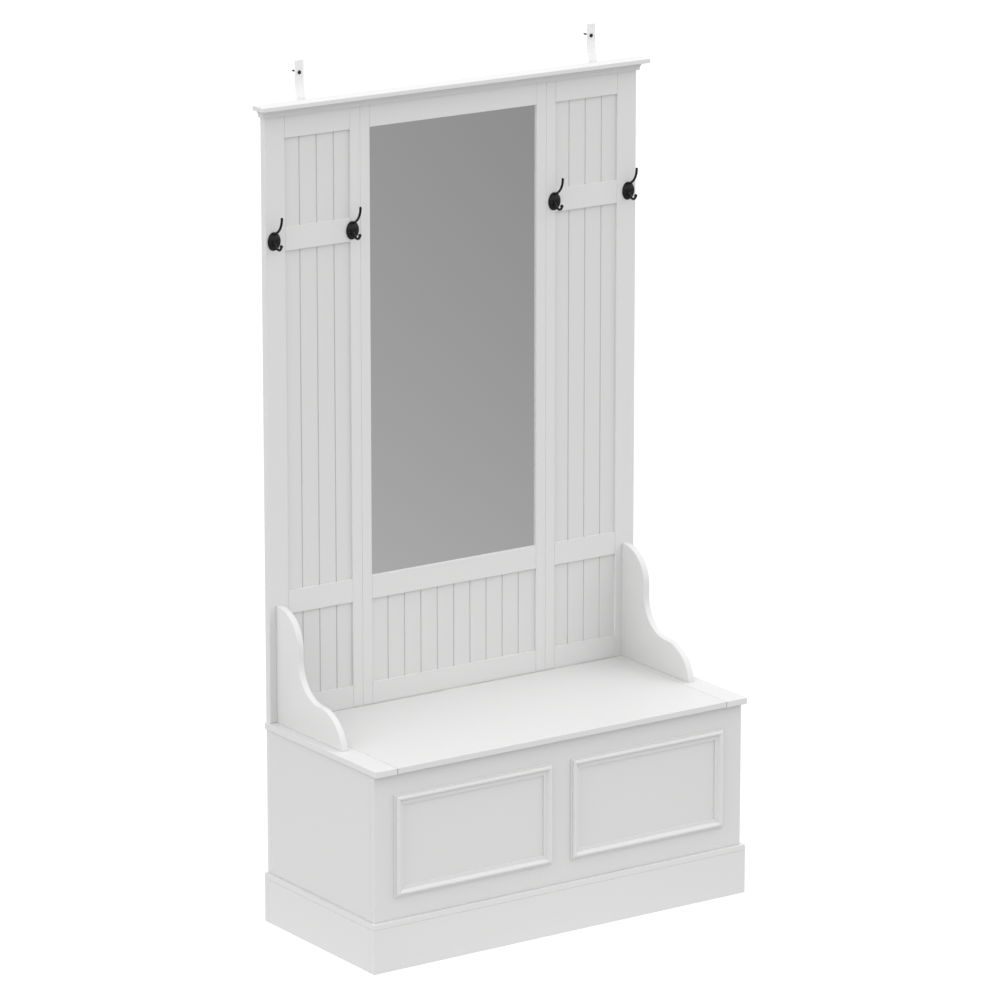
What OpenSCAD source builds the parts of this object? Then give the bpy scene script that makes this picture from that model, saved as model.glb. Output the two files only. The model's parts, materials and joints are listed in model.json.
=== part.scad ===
// Hall tree: a storage bench with a lift-up seat, under a tall panelled back
// with a mirror, four double coat hooks and a moulded crown.
// X runs to the right, Y to the back and Z up. The origin lies on the floor,
// midway between the two ends and midway between the seat's front edge and the
// tips of the wall screws.

/* [Boards] */
// Thickness of the plinth and box boards
board_t = 15.5; // [12:0.5:20]
// Chamfer along the edges of the boards
ease = 1; // [0.2:0.1:1.2]
// Chamfer on the upper edges of boards and rails
top_ease = 0.3; // [0.2:0.1:1]

/* [Plinth] */
// Width over the plinth boards
plinth_w = 1000; // [900:10:1200]
// Depth from the plinth's front face to the back
depth = 442; // [420:1:520]
// Height of the plinth boards
plinth_h = 100; // [70:1:140]
// Height of the strips that cap the plinth
cap_strip_h = 13; // [8:1:20]
// Width of those strips
cap_strip_w = 40; // [32:1:60]
// Gap between the floor and the brace under the box
brace_lift = 20; // [5:1:50]

/* [Storage box] */
// How far the box stands in from each end of the plinth
box_inset = 8.5; // [4:0.5:16]
// How far its front stands back from the plinth's front
box_setback = 9; // [4:0.5:16]
// Height of the box boards
box_h = 333; // [280:1:400]
// Width of the battens that carry the seat's side strips
batten_w = 32; // [24:1:34]
// Height of those battens
batten_h = 32; // [20:1:50]

/* [Front mouldings] */
// Margin between the box's edges and the mouldings
moulding_margin = 50; // [30:1:70]
// Gap between the two moulded frames
moulding_gap = 49; // [30:1:80]
// Width of the moulding
moulding_w = 24; // [22:1:34]
// Height of the moulding's ridge
moulding_h = 9.5; // [8:0.5:12]
// Distance of the ridge from the moulding's outer edge
ridge_at = 9; // [7:0.5:10]
// Radius of the rounded ridge
ridge_r = 5; // [4:0.5:5.5]
// Height of the flat bands along both edges
step_h = 3; // [2:0.5:4]
// Width of the flat band along the inner edge
step_w = 8; // [4:0.5:9]
// Saw gap in the mitres
mitre_gap = 0.1; // [0.05:0.05:0.3]

/* [Seat] */
// Thickness of the seat
seat_t = 14; // [13:0.5:20]
// Overhang of the seat past each end of the box
seat_over_side = 5; // [2:0.5:15]
// Overhang of the seat past the front of the box
seat_over_front = 15; // [8:0.5:30]
// Width of the fixed strips at the seat's ends
side_strip_w = 56; // [54:0.5:62]
// Gap between the lid and each side strip
lid_gap = 1; // [0.5:0.1:3]
// Gap between the lid and the back
lid_back_gap = 2.5; // [2.3:0.1:3]
// Thickness of the bumpers under the lid
bumper_t = 0.8; // [0.5:0.1:1]
// Radius of the bumpers
bumper_r = 5; // [3:0.5:7]
// Distance between neighbouring bumpers
bumper_pitch = 330; // [200:10:400]

/* [Lid hinges] */
// Length of a hinge
hinge_len = 60; // [40:1:90]
// Distance between neighbouring hinges
hinge_pitch = 300; // [150:10:340]
// Radius of the hinge knuckles
knuckle_r = 2.5; // [2.2:0.1:2.6]
// Radius of the hinge pins
hinge_pin_r = 1.25; // [1:0.05:1.5]
// Running clearance of a hinge pin in the lid's knuckle
pin_clear = 0.05; // [0.02:0.01:0.09]
// Gap between the knuckles and the plane of the back
knuckle_gap = 0.5; // [0.4:0.1:0.6]
// Thickness of the hinge leaves
leaf_t = 1; // [0.8:0.1:1.2]
// Height of the leaf on the box
box_leaf_h = 32; // [24:1:50]
// Reach of the leaf under the lid
lid_leaf_l = 26; // [15:1:50]
// Angle of the lid when it is fully open
lid_open = 85; // [60:1:88]

/* [Lid stays] */
// Distance of both of a stay's pivots from the hinge axis
stay_r = 100; // [90:1:120]
// Angle of the lid's pivot below the level of the hinge axis
lid_pivot_a = 19; // [17:0.5:22]
// Angle of the box's guide pin below the level of the hinge axis
box_pin_a = 40; // [38:0.5:44]
// Width of the slotted arm
stay_w = 16; // [12:1:18]
// Thickness of the slotted arm
stay_t = 2; // [1.5:0.1:3]
// Radius of the guide pin
guide_r = 3; // [2.5:0.1:3.5]
// Clearance of the guide pin in the slot
slot_clear = 0.15; // [0.1:0.01:0.3]
// Free travel past the guide pin at both ends of the slot
slot_spare = 1; // [0.5:0.1:3]
// Radius of the rivet on the lid's bracket
rivet_r = 2.5; // [2:0.1:3]
// Thickness of the steel brackets and plates
plate_t = 1.6; // [1.2:0.1:2]
// Width of the rim of the guide pin's head
guide_rim = 2; // [1:0.5:3]
// Gap between the seat and the top of the plate on the batten
plate_drop = 2.6; // [1:0.1:5]
// Gap between parts that swing past each other
side_clear = 0.4; // [0.3:0.05:0.6]
// Distance from the lid's end to its bracket
bracket_inset = 7.5; // [6:0.5:12]

/* [Seat arms] */
// Thickness of the curved arms
arm_t = 15; // [12:0.5:20]
// Depth of the flat on top of the arm, at the back
arm_flat = 8.5; // [2:0.5:20]
// Radius of the rounded top
arm_top_r = 80; // [60:1:100]
// Height of the upright stretch below the top
arm_upright = 25; // [5:1:60]
// Radius of the hollow waist
arm_waist_r = 84; // [60:1:100]
// Radius of the rounded foot
arm_foot_r = 93; // [80:1:110]
// How far the foot's centre lies below the seat
arm_foot_drop = 15; // [5:1:40]

/* [Back frame] */
// Height of the back above the seat
back_h = 1376; // [1200:4:1500]
// Thickness of the back
back_t = 15.5; // [14:0.5:20]
// How far the panels and the mirror lie behind the frame's face
recess = 5; // [4:0.5:8]
// Lap of the panels behind the frame
lap = 6; // [3:0.5:6]
// Width of each of the two side units
side_unit_w = 245; // [220:1:280]
// Width of the outer stiles
outer_stile_w = 51.5; // [51:0.5:60]
// Width of the inner stiles and of the mirror's stiles
inner_stile_w = 25.5; // [25:0.5:34]
// Height of the rails at the foot of the back
bottom_rail_h = 51; // [45:1:80]
// Height of the rails at the top of the back
top_rail_h = 67; // [55:1:90]
// Height of the hook rails and of the low rails
cross_rail_h = 53; // [46:1:70]
// Height of the low rails above the seat
low_rail_z = 243.5; // [180:0.5:320]
// Height of the hook rails above the seat
hook_rail_z = 1060; // [900:1:1080]

/* [Boarded panels] */
// Distance between the grooves
groove_pitch = 44; // [35:0.1:60]
// Width of a groove
groove_w = 3.2; // [1.5:0.1:4]
// Depth of a groove
groove_d = 2.6; // [1:0.1:3]
// Least width of the boards at the panel's edges
edge_board_w = 24; // [15:1:30]

/* [Mirror] */
// Thickness of the glass
glass_t = 4; // [3:0.5:5]

/* [Crown] */
// Thickness of the top board
crown_t = 9.5; // [8:0.5:16]
// Overhang of the top board at each end
crown_over_side = 20; // [14:1:30]
// Overhang of the top board at the front
crown_over_front = 26; // [16:1:34]
// Height of the cove moulding
cove_h = 17; // [15:0.5:24]
// Projection of the cove at its top
cove_top = 11.5; // [9:0.5:14]
// Projection of the lip at its foot
cove_foot = 5.5; // [4:0.5:8]
// Height of that lip
cove_lip = 2; // [1:0.5:5]
// Radius of the hollow
cove_r = 21; // [12:0.5:26]

/* [Coat hooks] */
// Distance of each hook from the edge of its side unit
hook_inset = 21.5; // [21:0.5:24]
// How far the hooks sit below the middle of their rail
hook_drop = 1.1; // [0:0.1:4]
// Half the width of a hook's base
base_a = 16; // [15:0.5:18]
// Half the height of a hook's base
base_b = 20.8; // [20:0.1:25]
// Radius of the base's ends
base_end_r = 14; // [13:0.5:14.5]
// Thickness of the base at its middle
base_t = 6; // [5.5:0.5:8]
// Radius of the base's domed face
dome_r = 44; // [42:1:90]
// Radius of the prongs
prong_r = 2.8; // [2.4:0.1:3.2]
// Radius of the upper prong's rounded tip
tip_r = 3; // [2.9:0.1:3.6]
// Radius of the ball on the lower prong's tip
ball_r = 3.9; // [3.2:0.1:4]
// Angle by which the lower prong stops short of upright
lower_short_a = 6; // [0:1:30]
// Bend radius of the upper prong
upper_bend_r = 39; // [36:1:42]
// Height of the upper bend's centre above the middle of the base
upper_bend_z = 55.6; // [50:0.1:58]
// How far the upper bend's centre lies behind the base
upper_bend_back = 5.4; // [4:0.1:6]
// Bend radius of the lower prong
lower_bend_r = 10.5; // [9:0.5:12]
// How far the lower bend's centre stands in front of the base
lower_bend_out = 20; // [19:0.5:23]
// How far that centre lies below the middle of the base
lower_bend_drop = 5.2; // [4:0.1:7]
// Distance of the two screws from the middle of the base
hook_screw_x = 10; // [9:0.5:11]
// Radius of the hook screws
hook_screw_r = 1.75; // [1.5:0.05:2]
// Length of the hook screws behind the base
hook_screw_l = 12; // [9:0.5:13]
// Radius of their heads
hook_head_r = 3.2; // [2.8:0.1:3.5]
// Height of their heads
hook_head_h = 2.2; // [1.5:0.1:2.5]

/* [Wall straps] */
// Distance of each strap from the end of the box
strap_inset = 106.5; // [80:0.5:150]
// Width of a strap
strap_w = 23; // [18:1:28]
// Thickness of a strap
strap_t = 1.4; // [1:0.1:2]
// Length of the strap on the back, below the crown's top
strap_low = 56; // [40:1:60]
// How far below the crown's top the strap leaves the back
strap_leave = 14; // [5:1:25]
// Height above the crown's top at which it reaches the wall
strap_rise = 39; // [30:1:60]
// How far the strap leans back
strap_lean = 10; // [4:0.5:20]
// Height of the upright end
strap_end = 46; // [30:1:60]
// Distance from the strap's end to the wall screw
wall_screw_drop = 27; // [14:1:30]
// Radius of the wall screw's shank
wall_screw_r = 2; // [1.75:0.05:2.5]
// Growth of the screw's neck, inside the strap, over its shank
neck_grow = 0.3; // [0.2:0.05:0.5]
// Free length of the shank behind the strap
wall_screw_l = 24; // [16:1:40]
// Length of its point
screw_point_l = 4; // [3:0.5:6]
// Radius of the screw heads
strap_head_r = 4.2; // [3.8:0.1:5]
// Height of the screw heads
strap_head_h = 2.4; // [1.8:0.1:3.5]
// Length of the lower screw in the back
low_screw_l = 10; // [8:0.5:12]
// Distance from the strap's lower end to the lower screw
low_screw_up = 18; // [12:1:24]

/* [Joining plates] */
// Width of the plates let into the back
join_w = 38; // [30:1:39]
// Height of those plates
join_h = 80; // [60:1:120]
// Thickness of those plates
join_t = 2; // [1.5:0.1:3]
// Height of the upper plates above the seat
join_high_z = 690; // [400:10:900]

/* [Fits] */
// Clearance of a screw in its hole
screw_clear = 0.05; // [0.02:0.01:0.1]
// Clearance round the knuckles that belong to the other leaf
knuckle_clear = 0.4; // [0.3:0.05:0.6]
// Side clearance of a hinge's notch in the lid
notch_clear = 1; // [0.5:0.1:2]

/* [Hidden] */
$fn = 64;

// levels
cap_z = plinth_h + cap_strip_h;
box_top_z = cap_z + box_h;
seat_z = box_top_z + seat_t;
crown_z = seat_z + back_h;
crown_top_z = crown_z + crown_t;
strap_top_z = crown_top_z + strap_rise + strap_end;
wall_screw_z = strap_top_z - wall_screw_drop;
low_screw_z = crown_top_z - strap_low + low_screw_up;

// depths: the origin lies midway between the seat's front edge and the screw tips
neck_l = strap_t + 0.2;
screw_reach = strap_lean + neck_l + wall_screw_l + screw_point_l;
front_y = -(depth + screw_reach + box_setback - seat_over_front) / 2;
back_y = front_y + depth;
face_y = back_y - back_t;
panel_y = face_y + recess;
box_y = front_y + box_setback;
seat_y = box_y - seat_over_front;

// half widths and places across the width
plinth_x = plinth_w / 2;
box_x = plinth_x - box_inset;
box_in_x = box_x - board_t;
seat_x = box_x + seat_over_side;
strip_in_x = seat_x - side_strip_w;
lid_x = strip_in_x - lid_gap;
batten_in_x = box_in_x - batten_w;
outer_in_x = box_x - outer_stile_w;
seam_x = box_x - side_unit_w;
inner_out_x = seam_x + inner_stile_w;
mirror_x = seam_x - inner_stile_w;
arm_x = box_x - outer_stile_w / 2;
hook_xs = [hook_inset - box_x, -hook_inset - seam_x, seam_x + hook_inset, box_x - hook_inset];
strap_x = box_x - strap_inset;

// heights in the back
bottom_z = seat_z + bottom_rail_h;
top_z = crown_z - top_rail_h;
low_z = seat_z + low_rail_z;
hook_rail_low_z = seat_z + hook_rail_z;
hook_z = hook_rail_low_z + cross_rail_h / 2 - hook_drop;
mirror_low_z = low_z + cross_rail_h;

// lid hinge and stays, seen along X: a point is [y, z]
axis_y = face_y - knuckle_gap - knuckle_r;
axis_z = seat_z - knuckle_r;
lid_back_y = face_y - lid_back_gap;
leaf_y = axis_y - knuckle_r;
lid_z = box_top_z + bumper_t;
knuckle_l = hinge_len / 3;
lid_pivot = [axis_y - stay_r * cos(lid_pivot_a), axis_z - stay_r * sin(lid_pivot_a)];
box_pin = [axis_y - stay_r * cos(box_pin_a), axis_z - stay_r * sin(box_pin_a)];
stay_a = 270 + (lid_pivot_a + box_pin_a) / 2;
slot_start = 2 * stay_r * sin((box_pin_a - lid_pivot_a) / 2) - slot_spare;
slot_end = 2 * stay_r * sin((box_pin_a - lid_pivot_a + lid_open) / 2) + slot_spare;
bracket_x = lid_x - bracket_inset;
stay_x = bracket_x + side_clear;
stay_out_x = stay_x + stay_t;

// Draws a [y, z] profile from x0 over a width of w
module along_x(x0, w) {
    translate([x0, 0, 0]) rotate([90, 0, 90]) linear_extrude(w) children();
}

// Draws an [x, z] profile from y0 backwards over a depth of d
module along_y(y0, d) {
    translate([0, y0 + d, 0]) rotate([90, 0, 0]) linear_extrude(d) children();
}

// Draws the right-hand piece for side = 1 and its mirror image for side = -1
module on_side(side) {
    mirror([side < 0 ? 1 : 0, 0, 0]) children();
}

module on_both_sides() {
    for (side = [-1, 1]) on_side(side) children();
}

// A rectangle with chamfered corners, the two upper ones by c
module eased_rect(p, q, c = ease) {
    polygon([[p[0] + ease, p[1]], [q[0] - ease, p[1]], [q[0], p[1] + ease], [q[0], q[1] - c],
        [q[0] - c, q[1]], [p[0] + c, q[1]], [p[0], q[1] - c], [p[0], p[1] + ease]]);
}

// A board from corner p to corner q with all of its edges chamfered
module board(p, q) {
    intersection() {
        translate([0, 0, p[2]]) linear_extrude(q[2] - p[2]) eased_rect([p[0], p[1]], [q[0], q[1]]);
        along_x(p[0], q[0] - p[0]) eased_rect([p[1], p[2]], [q[1], q[2]], top_ease);
        along_y(p[1], q[1] - p[1]) eased_rect([p[0], p[2]], [q[0], q[2]], top_ease);
    }
}

module block(p, q) {
    translate(p) cube(q - p);
}

// A member of the back: its face in front of the panels, chamfered at the front
module face_bar(x0, x1, z0, z1) {
    intersection() {
        translate([0, 0, z0]) linear_extrude(z1 - z0)
            polygon([[x0 + ease, face_y], [x1 - ease, face_y], [x1, face_y + ease],
                [x1, panel_y], [x0, panel_y], [x0, face_y + ease]]);
        along_x(x0, x1 - x0)
            polygon([[face_y, z0 + ease], [face_y, z1 - top_ease], [face_y + top_ease, z1],
                [panel_y, z1], [panel_y, z0], [face_y + ease, z0]]);
    }
}

// A full-thickness member: the face bar and the thinner-edged part behind it
module lapped_bar(x0, x1, z0, z1, back_x0, back_x1, back_z0, back_z1) {
    face_bar(x0, x1, z0, z1);
    block([back_x0, panel_y, back_z0], [back_x1, back_y, back_z1]);
}

// ---- plinth ----

module plinth_front() {
    color("white") board([-plinth_x, front_y, 0], [plinth_x, front_y + board_t, plinth_h]);
}

module plinth_rear() {
    color("white") board([-plinth_x, back_y - board_t, 0], [plinth_x, back_y, plinth_h]);
}

module plinth_side(side) {
    color("white") on_side(side)
        board([plinth_x - board_t, front_y + board_t, 0], [plinth_x, back_y - board_t, plinth_h]);
}

module plinth_brace() {
    color("white") {
        block([-board_t / 2, front_y + board_t, brace_lift], [board_t / 2, back_y - board_t, plinth_h]);
        block([-board_t / 2, front_y + cap_strip_w, brace_lift],
            [board_t / 2, back_y - cap_strip_w, cap_z]);
    }
}

module plinth_cap_front() {
    color("white") intersection() {
        board([-plinth_x, front_y, plinth_h], [plinth_x, front_y + cap_strip_w, cap_z]);
        translate([0, 0, plinth_h]) linear_extrude(cap_strip_h)
            polygon([[-plinth_x, front_y], [plinth_x, front_y],
                [plinth_x - cap_strip_w, front_y + cap_strip_w],
                [-plinth_x + cap_strip_w, front_y + cap_strip_w]]);
    }
}

module plinth_cap_sides() {
    color("white") on_both_sides() intersection() {
        board([plinth_x - cap_strip_w, front_y, plinth_h], [plinth_x, back_y, cap_z]);
        translate([0, 0, plinth_h]) linear_extrude(cap_strip_h)
            polygon([[plinth_x, front_y], [plinth_x, back_y], [plinth_x - cap_strip_w, back_y],
                [plinth_x - cap_strip_w, front_y + cap_strip_w]]);
    }
}

module plinth_cap_rear() {
    color("white") board([-plinth_x + cap_strip_w, back_y - cap_strip_w, plinth_h],
        [plinth_x - cap_strip_w, back_y, cap_z]);
}

// ---- storage box ----

module box_bottom() {
    color("white") board([-box_in_x, box_y + board_t, cap_z],
        [box_in_x, back_y - board_t, cap_z + board_t]);
}

module box_front() {
    color("white") board([-box_x, box_y, cap_z], [box_x, box_y + board_t, box_top_z]);
}

module box_rear() {
    color("white") difference() {
        board([-box_x, back_y - board_t, cap_z], [box_x, back_y, box_top_z]);
        join_pockets();
    }
}

module box_side(side) {
    color("white") on_side(side)
        board([box_in_x, box_y + board_t, cap_z], [box_x, back_y - board_t, box_top_z]);
}

module seat_battens() {
    color("white") on_both_sides()
        board([batten_in_x, box_y + board_t, box_top_z - batten_h],
            [box_in_x, back_y - board_t, box_top_z]);
}

// ---- mouldings on the front ----

// The moulding's section: a flat band, a rounded ridge, a steep fall and a wider flat band
module moulding_profile() {
    ridge = [ridge_at, moulding_h - ridge_r];
    foot = [max(moulding_w - step_w, ridge_at + ridge_r + 1), step_h];
    run = norm(foot - ridge);
    touch_a = atan2(foot[1] - ridge[1], foot[0] - ridge[0]) + acos(ridge_r / run);
    touch = ridge + ridge_r * [cos(touch_a), sin(touch_a)];
    square([moulding_w, step_h]);
    polygon([[ridge[0], step_h / 2], ridge, touch, foot, [foot[0], step_h / 2]]);
    intersection() {
        translate(ridge) circle(ridge_r);
        square([moulding_w, moulding_h + 1]);
    }
}

// One mitred length along X, its outer edge on the X axis, its back on the XZ plane
module mitred_length(l) {
    intersection() {
        along_x(0, l) rotate(90) moulding_profile();
        along_y(-moulding_h, moulding_h)
            polygon([[mitre_gap, 0], [l - mitre_gap, 0], [l - moulding_w - mitre_gap, moulding_w],
                [moulding_w + mitre_gap, moulding_w]]);
    }
}

module moulding_frame(x0, x1) {
    w = x1 - x0;
    h = box_h - 2 * moulding_margin;
    translate([x0, box_y, cap_z + moulding_margin]) {
        mitred_length(w);
        translate([w, 0, 0]) rotate([0, -90, 0]) mitred_length(h);
        translate([w, 0, h]) rotate([0, 180, 0]) mitred_length(w);
        translate([0, 0, h]) rotate([0, 90, 0]) mitred_length(h);
    }
}

module moulding_left() {
    color("white") moulding_frame(-box_x + moulding_margin, -moulding_gap / 2);
}

module moulding_right() {
    color("white") moulding_frame(moulding_gap / 2, box_x - moulding_margin);
}

// ---- seat ----

module seat_strip(side) {
    color("white") difference() {
        on_side(side) board([strip_in_x, seat_y, box_top_z], [seat_x, back_y, seat_z]);
        join_pockets();
    }
}

module seat_strip_rear() {
    color("white") difference() {
        board([-strip_in_x, face_y, box_top_z], [strip_in_x, back_y, seat_z]);
        join_pockets();
    }
}

// Runs its children at the middle of every hinge, on the hinge axis
module at_hinges() {
    for (i = [-1:1]) translate([i * hinge_pitch, axis_y, axis_z]) children();
}

module seat_lid() {
    color("white") difference() {
        board([-lid_x, seat_y, lid_z], [lid_x, lid_back_y, seat_z]);
        at_hinges() translate([-hinge_len / 2 - notch_clear, leaf_y - leaf_t / 2 - axis_y, -seat_t])
            cube([hinge_len + 2 * notch_clear, board_t, 2 * seat_t]);
    }
}

module lid_bumpers() {
    color("gainsboro") for (i = [-1:1])
        translate([i * bumper_pitch, box_y + board_t / 2, box_top_z]) cylinder(r = bumper_r, h = bumper_t);
}

// ---- lid hinges ----

// A round bar along X, centred on the hinge's middle plus x
module x_bar(x, l, r) {
    translate([x - l / 2, 0, 0]) rotate([0, 90, 0]) cylinder(r = r, h = l);
}

module hinge_box_leaves() {
    color("white") at_hinges() difference() {
        union() {
            for (side = [-1, 1]) x_bar(side * knuckle_l, knuckle_l, knuckle_r);
            translate([-hinge_len / 2, face_y - axis_y - leaf_t, -box_leaf_h])
                cube([hinge_len, leaf_t, box_leaf_h]);
        }
        x_bar(0, knuckle_l + 0.01, knuckle_r + knuckle_clear);
        x_bar(0, hinge_len + 1, hinge_pin_r);
    }
}

module hinge_lid_leaves() {
    color("white") at_hinges() difference() {
        union() {
            x_bar(0, knuckle_l - knuckle_clear, knuckle_r);
            translate([-hinge_len / 2, leaf_y - leaf_t / 2 - axis_y, lid_z - axis_z - leaf_t])
                cube([hinge_len, leaf_t, axis_z - lid_z + leaf_t]);
            translate([-hinge_len / 2, leaf_y + leaf_t / 2 - axis_y - lid_leaf_l, lid_z - axis_z - leaf_t])
                cube([hinge_len, lid_leaf_l, leaf_t]);
        }
        for (side = [-1, 1])
            x_bar(side * knuckle_l, knuckle_l + knuckle_clear, knuckle_r + knuckle_clear);
        x_bar(0, hinge_len, hinge_pin_r + pin_clear);
    }
}

module hinge_pins() {
    color("silver") at_hinges() x_bar(0, hinge_len, hinge_pin_r);
}

// ---- lid stays ----

module stay_arm(side) {
    color("silver") on_side(side) along_x(stay_x, stay_t)
        translate(lid_pivot) rotate(stay_a) difference() {
            union() {
                circle(stay_w / 2);
                translate([0, -stay_w / 2]) square([slot_end, stay_w]);
                translate([slot_end, 0]) circle(stay_w / 2);
            }
            circle(rivet_r + pin_clear);
            for (s = [slot_start, slot_end]) translate([s, 0]) circle(guide_r + slot_clear);
            translate([slot_start, -guide_r - slot_clear])
                square([slot_end - slot_start, 2 * (guide_r + slot_clear)]);
        }
}

// A headed guide pin on a plate, screwed to the batten
module stay_plates() {
    reach = batten_in_x - plate_t - stay_out_x;
    color("silver") on_both_sides() {
        along_x(batten_in_x - plate_t, plate_t) translate(box_pin) union() {
            circle(stay_w / 2);
            translate([-stay_w / 2, 0]) square([stay_w, box_top_z - box_pin[1] - plate_drop]);
        }
        along_x(stay_x - side_clear, stay_t + side_clear + reach) translate(box_pin) circle(guide_r);
        along_x(stay_x - side_clear - plate_t, plate_t) translate(box_pin) circle(guide_r + guide_rim);
    }
}

// An angle bracket under the lid with an ear for the stay's rivet
module lid_brackets() {
    ear = stay_w / 2;
    color("silver") on_both_sides() difference() {
        union() {
            along_x(bracket_x - plate_t, plate_t) translate(lid_pivot) union() {
                circle(ear);
                translate([-ear, 0]) square([2 * ear, lid_z - lid_pivot[1]]);
            }
            block([bracket_x - stay_w - plate_t, lid_pivot[0] - stay_w, lid_z - plate_t],
                [bracket_x, lid_pivot[0] + stay_w, lid_z]);
        }
        along_x(bracket_x - 2 * plate_t, 3 * plate_t) translate(lid_pivot) circle(rivet_r);
    }
}

module stay_rivets() {
    color("silver") on_both_sides() {
        along_x(bracket_x - plate_t, plate_t + stay_t + 2 * side_clear)
            translate(lid_pivot) circle(rivet_r);
        along_x(bracket_x - 2 * plate_t, plate_t) translate(lid_pivot) circle(2 * rivet_r);
        along_x(stay_out_x + side_clear, plate_t) translate(lid_pivot) circle(2 * rivet_r);
    }
}

// ---- curved arms at the seat's ends ----

// The arm's outline in [y, z]: a rounded top, a hollow waist and a rounded foot
module arm_profile() {
    foot_z = seat_z - arm_foot_drop;
    waist_low_z = foot_z + arm_foot_r;
    waist_z = waist_low_z + arm_waist_r;
    top_mid_z = waist_z + arm_upright;
    top_y = face_y - arm_flat;
    waist_y = top_y - arm_top_r;
    foot_y = waist_y - arm_waist_r;
    difference() {
        union() {
            translate([foot_y, seat_z]) square([face_y - foot_y, waist_low_z - seat_z]);
            translate([foot_y, seat_z]) square([face_y - foot_y, waist_z - seat_z]);
            translate([waist_y, seat_z]) square([face_y - waist_y, top_mid_z - seat_z]);
            translate([top_y, seat_z]) square([arm_flat, top_mid_z + arm_top_r - seat_z]);
            intersection() {
                translate([top_y, top_mid_z]) circle(arm_top_r, $fn = 128);
                translate([waist_y, top_mid_z]) square([arm_top_r, arm_top_r]);
            }
            intersection() {
                translate([foot_y, foot_z]) circle(arm_foot_r, $fn = 128);
                translate([foot_y - arm_foot_r, seat_z]) square([arm_foot_r, arm_foot_r]);
            }
        }
        translate([foot_y, waist_z]) circle(arm_waist_r, $fn = 128);
    }
}

module seat_arm(side) {
    color("white") on_side(side) along_x(arm_x - arm_t / 2, arm_t) arm_profile();
}

// ---- back frame ----

module outer_stile(side) {
    color("white") difference() {
        on_side(side) lapped_bar(outer_in_x, box_x, seat_z, crown_z,
            outer_in_x + lap, box_x, seat_z, crown_z);
        join_pockets();
        hook_screw_holes();
    }
}

module inner_stile(side) {
    color("white") difference() {
        on_side(side) lapped_bar(seam_x, inner_out_x, seat_z, crown_z,
            seam_x, inner_out_x - lap, seat_z, crown_z);
        join_pockets();
        hook_screw_holes();
    }
}

module mirror_stile(side) {
    color("white") difference() {
        on_side(side) lapped_bar(mirror_x, seam_x, seat_z, crown_z,
            mirror_x + lap, seam_x, seat_z, crown_z);
        join_pockets();
    }
}

module top_rails() {
    color("white") difference() {
        union() {
            on_both_sides() lapped_bar(inner_out_x, outer_in_x, top_z, crown_z,
                inner_out_x - lap, outer_in_x + lap, top_z + lap, crown_z);
            lapped_bar(-mirror_x, mirror_x, top_z, crown_z,
                -mirror_x - lap, mirror_x + lap, top_z + lap, crown_z);
        }
        low_screw_holes();
    }
}

module bottom_rails() {
    color("white") difference() {
        union() {
            on_both_sides() lapped_bar(inner_out_x, outer_in_x, seat_z, bottom_z,
                inner_out_x - lap, outer_in_x + lap, seat_z, bottom_z - lap);
            lapped_bar(-mirror_x, mirror_x, seat_z, bottom_z,
                -mirror_x - lap, mirror_x + lap, seat_z, bottom_z - lap);
        }
        join_pockets();
    }
}

module hook_rails() {
    color("white") difference() {
        on_both_sides()
            face_bar(inner_out_x, outer_in_x, hook_rail_low_z, hook_rail_low_z + cross_rail_h);
        hook_screw_holes();
    }
}

module low_rails() {
    color("white") on_both_sides() face_bar(inner_out_x, outer_in_x, low_z, low_z + cross_rail_h);
}

module mirror_rail() {
    color("white") lapped_bar(-mirror_x, mirror_x, low_z, mirror_low_z,
        -mirror_x - lap, mirror_x + lap, low_z + lap, mirror_low_z - lap);
}

// A panel of vertical boards: one sheet with V grooves between the boards
module beadboard(x0, x1, z0, z1) {
    mid = (x0 + x1) / 2;
    count = floor(((x1 - x0) / 2 - edge_board_w) / groove_pitch);
    difference() {
        block([x0 - lap, panel_y, z0 - lap], [x1 + lap, back_y, z1 + lap]);
        for (i = [-count:count])
            translate([mid + i * groove_pitch, panel_y, z0 - lap - 1]) linear_extrude(z1 - z0 + 2 * lap + 2)
                polygon([[-groove_w / 2, -0.01], [groove_w / 2, -0.01], [0, groove_d]]);
    }
}

module side_beadboard(side) {
    color("white") difference() {
        on_side(side) beadboard(inner_out_x, outer_in_x, bottom_z, top_z);
        hook_screw_holes();
    }
}

module beadboard_centre() {
    color("white") beadboard(-mirror_x, mirror_x, bottom_z, low_z);
}

module mirror_glass() {
    color("lightgray") block([-mirror_x - lap, panel_y, mirror_low_z - lap],
        [mirror_x + lap, panel_y + glass_t, top_z + lap]);
}

module mirror_backing() {
    color("tan") block([-mirror_x - lap, panel_y + glass_t, mirror_low_z - lap],
        [mirror_x + lap, back_y, top_z + lap]);
}

// ---- crown ----

module crown_board() {
    color("white") board([-box_x - crown_over_side, face_y - crown_over_front, crown_z],
        [box_x + crown_over_side, back_y, crown_top_z]);
}

// The cove's section: [projection, height above its foot]
module cove_profile() {
    difference() {
        square([cove_top, cove_h]);
        translate([cove_foot, -1]) square([cove_top, cove_lip + 1]);
        translate([cove_foot + cove_r, cove_lip]) circle(cove_r);
    }
}

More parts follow.
